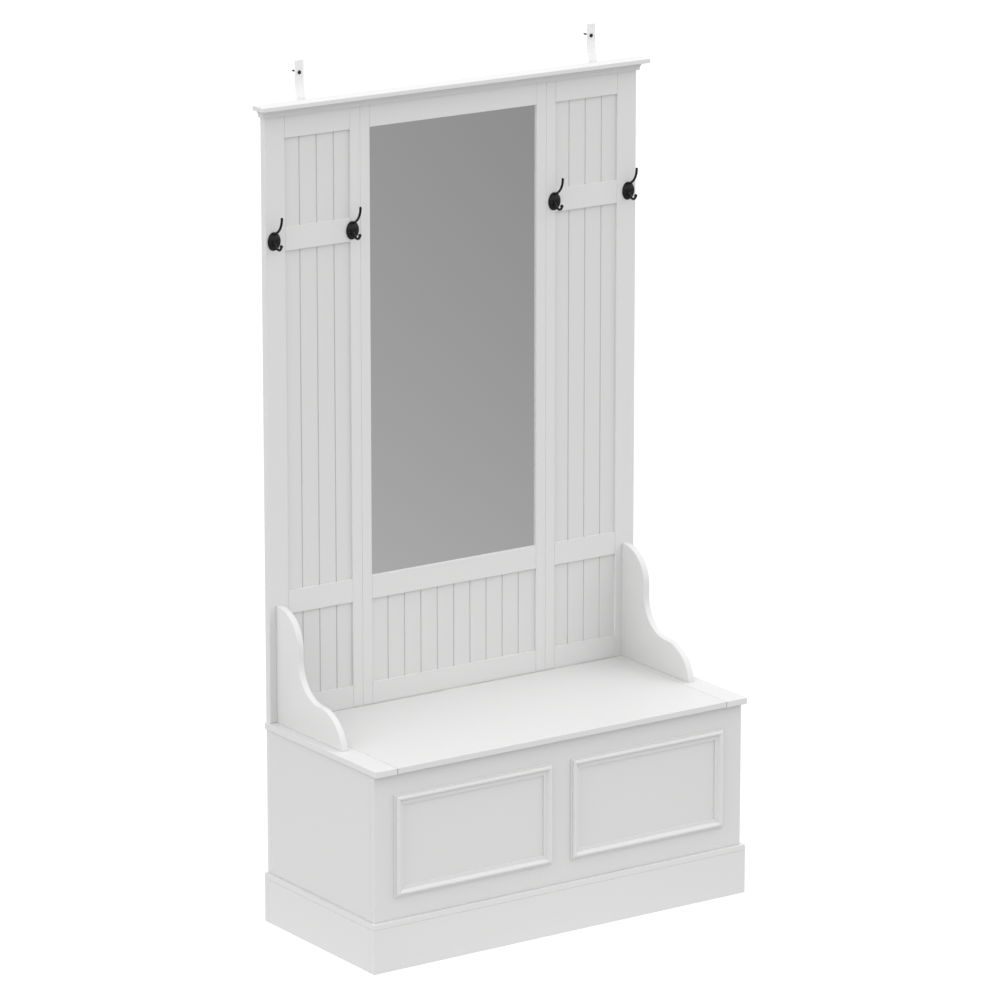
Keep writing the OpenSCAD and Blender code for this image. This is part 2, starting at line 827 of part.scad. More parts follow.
module crown_cove() {
    cove_z = crown_z - cove_h;
    color("white") {
        intersection() {
            along_x(-box_x - cove_top, 2 * (box_x + cove_top))
                translate([face_y, cove_z]) mirror([1, 0]) cove_profile();
            translate([0, 0, cove_z]) linear_extrude(cove_h)
                polygon([[mitre_gap - box_x, face_y], [box_x - mitre_gap, face_y],
                    [box_x + cove_top - mitre_gap, face_y - cove_top],
                    [mitre_gap - box_x - cove_top, face_y - cove_top]]);
        }
        on_both_sides() intersection() {
            along_y(face_y - cove_top, back_t + cove_top)
                translate([box_x, cove_z]) cove_profile();
            translate([0, 0, cove_z]) linear_extrude(cove_h)
                polygon([[box_x, face_y], [box_x + cove_top, face_y - cove_top],
                    [box_x + cove_top, back_y], [box_x, back_y]]);
        }
    }
}

// ---- coat hooks ----

// An oval of four arcs: two round ends and two flatter sides
module oval() {
    c = base_b - base_end_r;
    side_r = (c * c + base_a * base_a - base_end_r * base_end_r) / (2 * (base_a - base_end_r));
    gap = side_r - base_a;
    join_q = side_r * c / sqrt(c * c + gap * gap);
    for (s = [-1, 1]) translate([0, s * c]) circle(base_end_r);
    intersection() {
        translate([gap, 0]) circle(side_r, $fn = 128);
        translate([-gap, 0]) circle(side_r, $fn = 128);
        translate([-base_a, -join_q]) square([2 * base_a, 2 * join_q]);
    }
}

// A rod of radius prong_r bent from angle a0 over a sweep, in the [out, up] plane
module bent_rod(r, a0, sweep) {
    rotate([90, 0, -90]) rotate([0, 0, a0]) rotate_extrude(angle = sweep) translate([r, 0]) circle(prong_r);
}

// The upper prong: it leaves the base near its top and bends up
module upper_prong() {
    start_a = 270 + asin((upper_bend_back + base_t / 6) / upper_bend_r);
    translate([0, upper_bend_back, upper_bend_z]) {
        bent_rod(upper_bend_r, start_a, 360 - start_a);
        translate([0, -upper_bend_r, 0]) sphere(tip_r);
    }
}

// The lower prong: a short straight stretch down, then a tight bend up
module lower_prong() {
    foot_a = 225;
    root = prong_r * sin(45) + screw_clear;
    straight = (lower_bend_out - root) * sqrt(2) - lower_bend_r;
    translate([0, -lower_bend_out, -lower_bend_drop]) {
        bent_rod(lower_bend_r, foot_a, 360 - foot_a - lower_short_a);
        translate([0, lower_bend_r * sin(45), -lower_bend_r * sin(45)])
            rotate([-45, 0, 0]) cylinder(r = prong_r, h = straight);
        rotate([lower_short_a, 0, 0]) translate([0, -lower_bend_r, 0]) sphere(ball_r);
    }
}

module coat_hook(x) {
    color("black") translate([x, face_y, hook_z]) difference() {
        union() {
            intersection() {
                along_y(-base_t, base_t) oval();
                translate([0, dome_r - base_t, 0]) sphere(dome_r, $fn = 128);
            }
            upper_prong();
            lower_prong();
        }
        for (s = [-1, 1]) translate([s * hook_screw_x, 0, 0]) hook_screw(screw_clear);
    }
}

// A countersunk screw along Y, its shank behind the plane y = 0
module hook_screw(grow) {
    head_y = hook_head_h - base_t;
    rotate([-90, 0, 0]) {
        translate([0, 0, head_y]) cylinder(r = hook_screw_r + grow, h = hook_screw_l - head_y + grow);
        translate([0, 0, head_y]) cylinder(r1 = hook_head_r + grow, r2 = hook_screw_r + grow, h = hook_head_h);
        if (grow > 0) translate([0, 0, head_y - base_t]) cylinder(r = hook_head_r + grow, h = base_t);
    }
}

module at_hook_screws() {
    for (x = hook_xs, s = [-1, 1]) translate([x + s * hook_screw_x, face_y, hook_z]) children();
}

module hook_screw_holes() {
    at_hook_screws() hook_screw(screw_clear);
}

module hook_screws() {
    color("black") at_hook_screws() hook_screw(0);
}

// ---- wall straps ----

// The strap's line in [y, z]: flat on the back, leaning to the wall, then upright
module strap_profile() {
    end_z = crown_top_z - strap_low;
    leave_z = crown_top_z - strap_leave;
    lean_z = crown_top_z + strap_rise;
    polygon([[back_y, end_z], [back_y + strap_t, end_z],
        [back_y + strap_t, leave_z], [back_y + strap_lean + strap_t, lean_z],
        [back_y + strap_lean + strap_t, strap_top_z], [back_y + strap_lean, strap_top_z],
        [back_y + strap_lean, lean_z], [back_y, leave_z]]);
}

module wall_strap(side) {
    color("white") on_side(side) difference() {
        along_x(strap_x - strap_w / 2, strap_w) strap_profile();
        translate([strap_x, back_y, wall_screw_z]) rotate([-90, 0, 0])
            cylinder(r = wall_screw_r + neck_grow + screw_clear, h = strap_lean + 2 * strap_t);
        translate([strap_x, back_y - 1, low_screw_z]) rotate([-90, 0, 0])
            cylinder(r = wall_screw_r + screw_clear, h = strap_t + 2);
    }
}

// Its head faces back: it holds the strap's lower end to the top rail
module strap_screws() {
    color("black") on_both_sides() translate([strap_x, back_y + strap_t, low_screw_z]) rotate([90, 0, 0]) {
        cylinder(r = wall_screw_r, h = strap_t + low_screw_l);
        translate([0, 0, -strap_head_h]) cylinder(r = strap_head_r, h = strap_head_h);
    }
}

module low_screw_holes() {
    on_both_sides() translate([strap_x, back_y + 1, low_screw_z]) rotate([90, 0, 0])
        cylinder(r = wall_screw_r + screw_clear, h = low_screw_l + 1 + screw_clear);
}

// Screwed into the wall through the strap's upper end: head, neck, shank and point
module wall_screws() {
    color("black") on_both_sides() translate([strap_x, back_y + strap_lean, wall_screw_z])
        rotate([-90, 0, 0]) {
            translate([0, 0, -strap_head_h]) cylinder(r = strap_head_r, h = strap_head_h);
            cylinder(r = wall_screw_r + neck_grow, h = neck_l);
            translate([0, 0, neck_l]) cylinder(r = wall_screw_r, h = wall_screw_l);
            translate([0, 0, neck_l + wall_screw_l]) cylinder(r1 = wall_screw_r, r2 = 0.2, h = screw_point_l);
        }
}

// ---- plates that join the back to the box and its three units to each other ----

module join_plates() {
    color("silver") {
        on_both_sides() for (x = [arm_x, seam_x])
            block([x - join_w / 2, back_y - join_t, seat_z - join_h / 2],
                [x + join_w / 2, back_y, seat_z + join_h / 2]);
        on_both_sides()
            block([seam_x - join_w / 2, back_y - join_t, seat_z + join_high_z - join_h / 2],
                [seam_x + join_w / 2, back_y, seat_z + join_high_z + join_h / 2]);
    }
}

module join_pockets() {
    pocket_y = back_y - join_t;
    on_both_sides() for (x = [arm_x, seam_x], z = [seat_z, seat_z + join_high_z])
        if (x == seam_x || z == seat_z)
            block([x - join_w / 2, pocket_y, z - join_h / 2], [x + join_w / 2, back_y + 1, z + join_h / 2]);
}

plinth_front();
plinth_rear();
plinth_side(-1);  // plinth_left
plinth_side(1);  // plinth_right
plinth_brace();
plinth_cap_front();
plinth_cap_sides();
plinth_cap_rear();
box_bottom();
box_front();
box_rear();
box_side(-1);  // box_left
box_side(1);  // box_right
seat_battens();
moulding_left();
moulding_right();
seat_strip(-1);  // seat_strip_left
seat_strip(1);  // seat_strip_right
seat_strip_rear();
seat_lid();
lid_bumpers();
hinge_box_leaves();
hinge_lid_leaves();
hinge_pins();
stay_arm(-1);  // stay_arm_left
stay_arm(1);  // stay_arm_right
stay_plates();
lid_brackets();
stay_rivets();
seat_arm(-1);  // seat_arm_left
seat_arm(1);  // seat_arm_right
outer_stile(-1);  // outer_stile_left
outer_stile(1);  // outer_stile_right
inner_stile(-1);  // inner_stile_left
inner_stile(1);  // inner_stile_right
mirror_stile(-1);  // mirror_stile_left
mirror_stile(1);  // mirror_stile_right
top_rails();
hook_rails();
low_rails();
bottom_rails();
mirror_rail();
side_beadboard(-1);  // beadboard_left
side_beadboard(1);  // beadboard_right
beadboard_centre();
mirror_glass();
mirror_backing();
crown_board();
crown_cove();
coat_hook(hook_xs[0]);  // coat_hook_1
coat_hook(hook_xs[1]);  // coat_hook_2
coat_hook(hook_xs[2]);  // coat_hook_3
coat_hook(hook_xs[3]);  // coat_hook_4
hook_screws();
wall_strap(-1);  // wall_strap_left
wall_strap(1);  // wall_strap_right
strap_screws();
wall_screws();
join_plates();
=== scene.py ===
import json
import math

import bmesh
import bpy
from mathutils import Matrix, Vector


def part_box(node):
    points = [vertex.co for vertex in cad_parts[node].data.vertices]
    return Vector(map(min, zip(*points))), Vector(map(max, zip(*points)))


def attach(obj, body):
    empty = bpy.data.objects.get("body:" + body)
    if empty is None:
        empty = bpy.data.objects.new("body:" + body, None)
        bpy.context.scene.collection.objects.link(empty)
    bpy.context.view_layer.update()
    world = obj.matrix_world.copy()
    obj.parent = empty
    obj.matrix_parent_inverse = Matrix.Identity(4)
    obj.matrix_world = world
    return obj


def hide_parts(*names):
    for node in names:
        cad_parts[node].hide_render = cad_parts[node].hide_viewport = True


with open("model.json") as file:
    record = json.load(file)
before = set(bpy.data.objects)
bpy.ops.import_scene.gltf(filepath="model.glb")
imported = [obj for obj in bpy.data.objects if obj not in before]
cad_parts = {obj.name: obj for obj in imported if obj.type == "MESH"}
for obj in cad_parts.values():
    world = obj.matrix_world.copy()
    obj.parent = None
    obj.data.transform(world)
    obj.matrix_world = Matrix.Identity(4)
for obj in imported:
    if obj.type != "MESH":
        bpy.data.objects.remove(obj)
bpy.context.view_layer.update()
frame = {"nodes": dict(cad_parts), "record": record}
cadNodes = frame["nodes"]
print("frame loaded with", len(cadNodes), "nodes")


class Wire:
    # wraps an output socket so that sums on it add their own nodes
    def __init__(self, owner, socket):
        self.owner = owner
        self.socket = socket

    def maths(self, operation, first, second):
        return self.owner.add("ShaderNodeMath", {"operation": operation}, {0: first, 1: second})

    def __add__(self, other):
        return self.maths("ADD", self, other)

    def __radd__(self, other):
        return self.maths("ADD", other, self)

    def __sub__(self, other):
        return self.maths("SUBTRACT", self, other)

    def __rsub__(self, other):
        return self.maths("SUBTRACT", other, self)

    def __mul__(self, other):
        return self.maths("MULTIPLY", self, other)

    def __rmul__(self, other):
        return self.maths("MULTIPLY", other, self)

    def __truediv__(self, other):
        return self.maths("DIVIDE", self, other)

    def __rtruediv__(self, other):
        return self.maths("DIVIDE", other, self)


class NodeBench:
    # one node tree and the one method that puts nodes in it
    def __init__(self, tree):
        self.tree = tree

    def add(self, kind, settings=None, inputs=None, output=0):
        node = self.tree.nodes.new(kind)
        for key, value in (settings or {}).items():
            if key == "stops":
                while len(node.color_ramp.elements) < len(value):
                    node.color_ramp.elements.new(0.5)
                for element, (position, shade) in zip(node.color_ramp.elements, value):
                    element.position = position
                    element.color = (shade, shade, shade, 1)
            else:
                setattr(node, key, value)
        for key, value in (inputs or {}).items():
            for part in value if isinstance(value, tuple) and isinstance(value[0], Wire) else [value]:
                if isinstance(part, Wire):
                    self.tree.links.new(part.socket, node.inputs[key])
                else:
                    node.inputs[key].default_value = part
        if isinstance(output, (tuple, range)):
            return [Wire(self, node.outputs[item]) for item in output]
        return Wire(self, node.outputs[output]) if node.outputs else node


def newFinish(name):
    material = bpy.data.materials.new(name)
    material.use_nodes = True
    material.node_tree.nodes.clear()
    return material, NodeBench(material.node_tree)


def place(bench, stretch=(1, 1, 1)):
    # object coordinates in metres, stretched to make a grain
    where = bench.add("ShaderNodeTexCoord", output="Object")
    return bench.add("ShaderNodeMapping", {"vector_type": "POINT"}, {"Vector": where, "Scale": stretch})


def speckle(bench, where, scale, detail=2.0, roughness=0.5):
    return bench.add("ShaderNodeTexNoise", {"noise_dimensions": "3D"},
                     {"Vector": where, "Scale": scale, "Detail": detail, "Roughness": roughness})


def blendColours(bench, mask, first, second):
    return bench.add("ShaderNodeMix", {"data_type": "RGBA", "blend_type": "MIX"},
                     {0: mask, 6: (*first, 1), 7: (*second, 1)}, output=2)


def raised(bench, height, finish):
    return bench.add("ShaderNodeBump", None, {
        "Strength": finish["bumpStrength"], "Distance": finish["bumpDepth"], "Height": height})


def closeFinish(bench, shader):
    bench.add("ShaderNodeOutputMaterial", None, {"Surface": shader})


paint = {
    "colour": (0.665, 0.665, 0.663),
    "shade": (0.648, 0.648, 0.645),
    # the painted shade: how much deeper the shaded copy of the paint is
    "paintedShadeTone": 0.97,
    "driftTone": 0.5,
    "grainTone": 0.35,
    "roughness": 0.42,
    "roughnessDrift": 0.06,
    "roughnessGrain": 0.04,
    "peelScale": 620.0,
    "peelShare": 0.6,
    "grainScale": 90.0,
    "grainStretch": 0.035,
    "grainShare": 0.8,
    "driftScale": 5.0,
    "bumpStrength": 0.16,
    "bumpDepth": 0.00012,
    "ior": 1.46,
}


def paintedBoard(name, grainAxis, tone=1.0):
    # sprayed satin paint: fine orange peel over a board whose grain runs one way
    material, bench = newFinish(name)
    stretch = [1.0, 1.0, 1.0]
    stretch[grainAxis] = paint["grainStretch"]
    grain = speckle(bench, place(bench, stretch), paint["grainScale"], detail=3.0)
    peel = speckle(bench, place(bench), paint["peelScale"], detail=1.0)
    drift = speckle(bench, place(bench), paint["driftScale"])
    relief = peel * paint["peelShare"] + grain * paint["grainShare"]
    # a tone below one makes a painted shade, the same paint made darker
    colour, shade = [tuple(part * tone for part in paint[key]) for key in ("colour", "shade")]
    sprayed = blendColours(bench, drift * paint["driftTone"] + grain * paint["grainTone"], colour, shade)
    rough = paint["roughness"] + (drift - 0.5) * paint["roughnessDrift"]
    rough = rough + (grain - 0.5) * paint["roughnessGrain"]
    closeFinish(bench, bench.add("ShaderNodeBsdfPrincipled", None, {
        "Base Color": sprayed, "Roughness": rough, "Normal": raised(bench, relief, paint),
        "IOR": paint["ior"]}))
    return material


hookCoat = {"colour": (0.0035, 0.0035, 0.004), "worn": (0.009, 0.009, 0.0095), "roughness": 0.26,
            "roughnessDrift": 0.12, "grit": 1500.0, "driftScale": 60.0, "bumpStrength": 0.22,
            "bumpDepth": 0.00008, "ior": 1.38}


def powderCoat(name):
    # satin powder coat: a fine pebbled skin
    material, bench = newFinish(name)
    grit = speckle(bench, place(bench), hookCoat["grit"])
    drift = speckle(bench, place(bench), hookCoat["driftScale"])
    closeFinish(bench, bench.add("ShaderNodeBsdfPrincipled", None, {
        "Base Color": blendColours(bench, drift * grit, hookCoat["colour"], hookCoat["worn"]),
        "Roughness": hookCoat["roughness"] + (drift - 0.5) * hookCoat["roughnessDrift"],
        "Normal": raised(bench, grit, hookCoat), "IOR": hookCoat["ior"]}))
    return material


mirror = {"silver": (0.885, 0.888, 0.886), "hazed": (0.875, 0.878, 0.876), "roughness": 0.012,
          "hazeRoughness": 0.016, "hazeScale": 7.0}


def silveredGlass(name):
    # the silver layer behind polished glass, with the faintest haze
    material, bench = newFinish(name)
    haze = speckle(bench, place(bench), mirror["hazeScale"], detail=4.0)
    closeFinish(bench, bench.add("ShaderNodeBsdfPrincipled", None, {
        "Base Color": blendColours(bench, haze, mirror["silver"], mirror["hazed"]),
        "Metallic": 1.0, "Roughness": mirror["roughness"] + haze * mirror["hazeRoughness"]}))
    return material


zinc = {"colour": (0.66, 0.66, 0.65), "shade": (0.5, 0.5, 0.5), "roughness": 0.34, "scale": 420.0,
        "metallic": 1.0}
oxide = {"colour": (0.022, 0.022, 0.022), "shade": (0.04, 0.04, 0.04), "roughness": 0.42, "scale": 900.0,
         "metallic": 0.6}
rolled = {"stretch": (1, 1, 0.06), "spangleShare": 0.8, "lineShare": 0.3, "roughnessDrift": 0.16,
          "bumpStrength": 0.12, "bumpDepth": 0.00004}


def platedMetal(name, plating):
    # plating or black oxide: crystals and faint rolling lines
    material, bench = newFinish(name)
    spangle = bench.add("ShaderNodeTexVoronoi", {"feature": "F1"},
                        {"Vector": place(bench), "Scale": plating["scale"]}, output="Distance")
    lines = speckle(bench, place(bench, rolled["stretch"]), plating["scale"] * 2)
    marks = spangle * rolled["spangleShare"] + lines * rolled["lineShare"]
    closeFinish(bench, bench.add("ShaderNodeBsdfPrincipled", None, {
        "Base Color": blendColours(bench, marks, plating["colour"], plating["shade"]),
        "Metallic": plating["metallic"],
        "Roughness": plating["roughness"] + (lines - 0.5) * rolled["roughnessDrift"],
        "Normal": raised(bench, lines, rolled)}))
    return material


# white enamel on the hinges, glossier than the boards, and the duller rubber of the bumpers
hingeCoat = {"colour": (0.70, 0.70, 0.695), "shade": (0.66, 0.66, 0.655), "roughness": 0.25,
             "roughnessDrift": 0.08, "scale": 90.0, "bumpStrength": 0.1, "bumpDepth": 0.00006}
bumperSkin = {"colour": (0.70, 0.70, 0.69), "shade": (0.62, 0.62, 0.61), "roughness": 0.55,
              "roughnessDrift": 0.15, "scale": 900.0, "bumpStrength": 0.2, "bumpDepth": 0.00006}


def mouldedSkin(name, skin):
    # one even skin whose tone, gloss and relief follow the same fine speckle
    material, bench = newFinish(name)
    grain = speckle(bench, place(bench), skin["scale"])
    closeFinish(bench, bench.add("ShaderNodeBsdfPrincipled", None, {
        "Base Color": blendColours(bench, grain, skin["colour"], skin["shade"]),
        "Roughness": skin["roughness"] + grain * skin["roughnessDrift"],
        "Normal": raised(bench, grain, skin)}))
    return material


hardboard = {"light": (0.235, 0.13, 0.062), "dark": (0.36, 0.22, 0.115), "fleck": (0.45, 0.38, 0.3),
             "fleckShare": 0.35, "fleckRange": (0.58, 0.70), "fleckScale": 180.0, "fibreScale": 260.0,
             "fibreStretch": (1, 1, 0.3), "fibreShare": 0.5, "screenScale": 90.0, "screenWander": 0.6,
             "screenShare": 0.6, "roughness": 0.74, "roughnessDrift": 0.15, "bumpStrength": 0.35,
             "bumpDepth": 0.0002}


def fibreBoard(name):
    # hardboard: pressed fibres with darker flecks and the print of the press screen
    material, bench = newFinish(name)
    where = place(bench)
    fibres = speckle(bench, place(bench, hardboard["fibreStretch"]), hardboard["fibreScale"],
                     detail=6.0, roughness=0.65)
    fleckFrom, fleckTo = hardboard["fleckRange"]
    flecks = bench.add("ShaderNodeValToRGB", {"stops": [(fleckFrom, 0.0), (fleckTo, 1.0)]},
                       {"Fac": speckle(bench, where, hardboard["fleckScale"])})
    screen = {"Vector": where, "Scale": hardboard["screenScale"], "Distortion": hardboard["screenWander"],
              "Detail": 1.0}
    screenX, screenZ = [
        bench.add("ShaderNodeTexWave", {"wave_type": "BANDS", "bands_direction": way}, screen, output="Fac")
        for way in ("X", "Z")]
    relief = screenX * screenZ * hardboard["screenShare"] + fibres * hardboard["fibreShare"]
    brown = blendColours(bench, fibres, hardboard["light"], hardboard["dark"])
    tone = bench.add("ShaderNodeMix", {"data_type": "RGBA", "blend_type": "MULTIPLY"},
                     {0: flecks * hardboard["fleckShare"], 6: brown, 7: (*hardboard["fleck"], 1)}, output=2)
    closeFinish(bench, bench.add("ShaderNodeBsdfPrincipled", None, {
        "Base Color": tone, "Roughness": hardboard["roughness"] + fibres * hardboard["roughnessDrift"],
        "Normal": raised(bench, relief, hardboard)}))
    return material


webbing = {"colour": (0.93, 0.93, 0.925), "paintedValleyShade": (0.78, 0.78, 0.78), "ribs": 20.0, "picks": 850.0,
           "ribShare": 0.7, "pickShare": 0.5, "fuzzScale": 2500.0, "fuzzShare": 0.15, "reliefShadeShare": 0.8,
           "fuzzTone": 0.2, "roughness": 0.62, "roughnessDrift": 0.12, "sheen": 0.15, "sheenRoughness": 0.5,
           "bumpStrength": 0.9, "bumpDepth": 0.00035}


def wovenNylon(name, width):
    # warp ribs along the strap, crossed by picks in a chevron
    material, bench = newFinish(name)
    cloth = bench.add("ShaderNodeUVMap", {"uv_map": "cloth"})
    across, along = bench.add("ShaderNodeSeparateXYZ", None, {0: cloth}, output=(0, 1))
    ribCount = across * (webbing["ribs"] / width)

    def wave(phase):
        sine = bench.add("ShaderNodeMath", {"operation": "SINE"}, {0: phase * math.pi})
        return bench.add("ShaderNodeMath", {"operation": "ABSOLUTE"}, {0: sine})

    # the picks lean one way on one rib and the other way on the next
    lean = bench.add("ShaderNodeMath", {"operation": "PINGPONG"}, {0: ribCount, 1: 1.0})
    rib = wave(ribCount)
    pick = wave(along * webbing["picks"] + lean)
    relief = rib * webbing["ribShare"] + pick * rib * webbing["pickShare"]
    fuzz = speckle(bench, place(bench), webbing["fuzzScale"])
    # a painted shade: the low places of the weave are coloured darker, and the fuzz varies the tone at
    # random
    tone = relief * webbing["reliefShadeShare"] + fuzz * webbing["fuzzTone"]
    closeFinish(bench, bench.add("ShaderNodeBsdfPrincipled", None, {
        "Base Color": blendColours(bench, tone, webbing["paintedValleyShade"], webbing["colour"]),
        "Roughness": webbing["roughness"] + fuzz * webbing["roughnessDrift"],
        "Normal": raised(bench, relief + fuzz * webbing["fuzzShare"], webbing),
        "Sheen Weight": webbing["sheen"], "Sheen Roughness": webbing["sheenRoughness"]}))
    return material


# the sweep away from the back starts below the crown's top and ends above it
strap = {"width": 0.023, "thick": 0.0012, "inset": 0.0007, "sweepBelow": 0.025, "sweepAbove": 0.050,
         "steps": 96, "acrossSteps": 12, "selvedgeSteps": 4, "bow": 0.0002, "bowRate": 55}

finishes = {made.name: made for made in (
    powderCoat("blackPowderCoat"),
    silveredGlass("silveredGlass"),
    platedMetal("zincPlate", zinc),
    platedMetal("blackOxide", oxide),
    mouldedSkin("hingeEnamel", hingeCoat),
    fibreBoard("fibreBoard"),
    mouldedSkin("bumperRubber", bumperSkin),
    wovenNylon("strapWebbing", strap["width"]),
)}
for grain, grainAxis in (("upright", 2), ("level", 0), ("deep", 1)):
    finishes[grain + "Paint"] = paintedBoard(grain + "Paint", grainAxis)
    # each paint also has a darker copy, a painted shade for the boards that sit in shade
    finishes[grain + "PanelPaint"] = paintedBoard(grain + "PanelPaint", grainAxis, paint["paintedShadeTone"])
print("finishes made:", len(finishes))

slotFinish = {
    "white_paint": "uprightPaint",
    "mirror_silver": "silveredGlass",
    "backing_board": "fibreBoard",
    "hook_metal": "blackPowderCoat",
    "black_screw": "blackOxide",
    "hinge_enamel": "hingeEnamel",
    "zinc_steel": "zincPlate",
    "webbing": "strapWebbing",
    "bumper_rubber": "bumperRubber",
}
grainAcross = ("plinth_front", "plinth_rear", "plinth_cap_front", "plinth_cap_rear", "box_bottom",
               "box_front", "box_rear", "seat_strip_rear", "seat_lid", "top_rails", "hook_rails",
               "low_rails", "bottom_rails", "mirror_rail", "crown_board", "crown_cove")
grainDeep = ("plinth_left", "plinth_right", "plinth_brace", "plinth_cap_sides", "box_left", "box_right",
             "seat_battens", "seat_strip_left", "seat_strip_right")
# painted shade: the boarded panels, the box's front and sides, the lid and the cove take the same paint a
# touch deeper, for the shade in their recesses, overhangs and corners
paintedShadeBoards = ("beadboard_left", "beadboard_centre", "beadboard_right", "box_front", "box_left",
                "box_right", "seat_lid", "crown_cove")

curved = {"angle": math.radians(28), "weld": 0.00001}


def newTree(name, inputs):
    # a tree from geometry to geometry, with named inputs between them
    tree = bpy.data.node_groups.new(name, "GeometryNodeTree")
    tree.interface.new_socket("Geometry", in_out="INPUT", socket_type="NodeSocketGeometry")
    tree.interface.new_socket("Geometry", in_out="OUTPUT", socket_type="NodeSocketGeometry")
    for label, kind in inputs.items():
        tree.interface.new_socket(label, in_out="INPUT", socket_type="NodeSocket" + kind)
    return tree, NodeBench(tree)


def curvedShadeTree():
    # welds a solid's loose triangles and shades them smooth, except across sharp edges
    tree, bench = newTree("curvedShade", {"Sharp Angle": "Float", "Weld Distance": "Float"})
    solid, angle, gap = bench.add("NodeGroupInput", output=range(3))
    welded = bench.add("GeometryNodeMergeByDistance", None, {"Geometry": solid, "Distance": gap})
    smooth = bench.add("GeometryNodeSetShadeSmooth", {"domain": "FACE"},
                       {"Geometry": welded, "Shade Smooth": True})
    turn = bench.add("GeometryNodeInputMeshEdgeAngle")
    sharp = bench.add("ShaderNodeMath", {"operation": "GREATER_THAN"}, {0: turn, 1: angle})
    edged = bench.add("GeometryNodeSetShadeSmooth", {"domain": "EDGE"},
                      {"Geometry": smooth, "Selection": sharp, "Shade Smooth": False})
    bench.add("NodeGroupOutput", None, {0: edged})
    return tree


def socketNames(tree):
    return {item.name: item.identifier for item in tree.interface.items_tree
            if item.item_type == "SOCKET" and item.in_out == "INPUT"}


def addNodes(piece, tree, values):
    # the inputs are set by their identifiers before the piece is first evaluated
    modifier = piece.modifiers.new(tree.name, "NODES")
    modifier.node_group = tree
    names = socketNames(tree)
    for key, value in values.items():
        modifier[names[key]] = value


curvedShade = curvedShadeTree()
curvedNodes = ("moulding_left", "moulding_right", "crown_cove", "lid_bumpers", "hinge_box_leaves",
               "hinge_lid_leaves", "hinge_pins", "stay_arm_left", "stay_arm_right", "stay_plates",
               "lid_brackets", "stay_rivets")
for nodeName in curvedNodes:
    addNodes(cadNodes[nodeName], curvedShade,
             {"Sharp Angle": curved["angle"], "Weld Distance": curved["weld"]})

armEdge = {"flat": math.radians(0.4), "width": 0.0009, "segments": 3, "angle": math.radians(40),
           "sharp": math.radians(35)}
for nodeName in ("seat_arm_left", "seat_arm_right"):
    arm = cadNodes[nodeName]
    weld = arm.modifiers.new("weld", "WELD")
    weld.merge_threshold = curved["weld"]
    flats = arm.modifiers.new("flats", "DECIMATE")
    flats.decimate_type = "DISSOLVE"
    flats.angle_limit = armEdge["flat"]
    edge = arm.modifiers.new("roundedEdge", "BEVEL")
    edge.width, edge.segments = armEdge["width"], armEdge["segments"]
    edge.limit_method, edge.angle_limit = "ANGLE", armEdge["angle"]
    addNodes(arm, curvedShade, {"Sharp Angle": armEdge["sharp"], "Weld Distance": curved["weld"]})

for subpart in frame["record"]["subparts"]:
    node = cadNodes[subpart["node"]]
    finish = finishes[slotFinish[subpart["material_slot"]]]
    if finish.name == "uprightPaint":
        grain = "level" if node.name in grainAcross else "deep" if node.name in grainDeep else "upright"
        # boards in shade get the painted-shade copy of the paint
        finish = finishes[grain + ("PanelPaint" if node.name in paintedShadeBoards else "Paint")]
    if not node.material_slots:
        node.data.materials.append(None)
    for slot in node.material_slots:
        slot.material = finish
print("solids painted and shaded")


def newPiece(name, mesh, finish):
    piece = bpy.data.objects.new(name, mesh)
    bpy.context.scene.collection.objects.link(piece)
    if finish is not None and not mesh.materials:
        mesh.materials.append(finish)
    return piece


def bakePiece(source, name, finish):
    # the evaluated result becomes a plain mesh and the source goes
    view = bpy.context.evaluated_depsgraph_get()
    mesh = bpy.data.meshes.new_from_object(source.evaluated_get(view))
    mesh.name = name
    bpy.data.objects.remove(source)
    return newPiece(name, mesh, finish)


# cast hooks: the solid's unions melted into one skin with small fillets
hookCast = {"weld": 0.00001, "voxel": 0.00055, "passes": 3, "factor": 0.5}


def castHook(node, name):
    mesh = cadNodes[node].data.copy()
    mesh.materials.clear()
    work = bmesh.new()
    work.from_mesh(mesh)
    bmesh.ops.remove_doubles(work, verts=work.verts, dist=hookCast["weld"])
    work.to_mesh(mesh)
    work.free()
    source = newPiece(name + "Source", mesh, None)
    skin = source.modifiers.new("skin", "REMESH")
    skin.mode, skin.voxel_size, skin.use_smooth_shade = "VOXEL", hookCast["voxel"], True
    melt = source.modifiers.new("melt", "SMOOTH")
    melt.factor, melt.iterations = hookCast["factor"], hookCast["passes"]
    return bakePiece(source, name, finishes["blackPowderCoat"])


hookNumbers = range(1, 5)
for index in hookNumbers:
    hook = castHook(f"coat_hook_{index}", f"castHook{index}")
    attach(hook, "carcass")
    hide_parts(f"coat_hook_{index}")
print("hooks cast")


def setOnPoints(bench, points, screw, finish, turn=None):
    # a copy on every point, upright along the way that the point faces, and turned about that way
    facing = bench.add("GeometryNodeInputNamedAttribute", {"data_type": "FLOAT_VECTOR"}, {"Name": "facing"})
    rotation = bench.add("FunctionNodeAlignRotationToVector", {"axis": "Z"}, {"Vector": facing})
    if turn is not None:
        spin = bench.add("FunctionNodeAxisAngleToRotation", None, {"Axis": (0, 0, 1), "Angle": turn})
        rotation = bench.add("FunctionNodeRotateRotation", {"rotation_space": "LOCAL"},
                             {"Rotation": rotation, "Rotate By": spin})
    placed = bench.add("GeometryNodeInstanceOnPoints", None, {
        "Points": points, "Instance": screw, "Rotation": rotation})
    real = bench.add("GeometryNodeRealizeInstances", None, {"Geometry": placed})
    bench.add("NodeGroupOutput", None, {0: bench.add("GeometryNodeSetMaterial", None, {
        "Geometry": real, "Material": finish})})


turned = {"headSides": 28, "headRings": 3, "faceRings": 4, "shankSides": 20, "pointRings": 2,
          "pointTip": 0.00012, "threadSteps": 18, "threadFill": 0.9, "threadTip": 0.0002,
          "threadReach": 0.85}


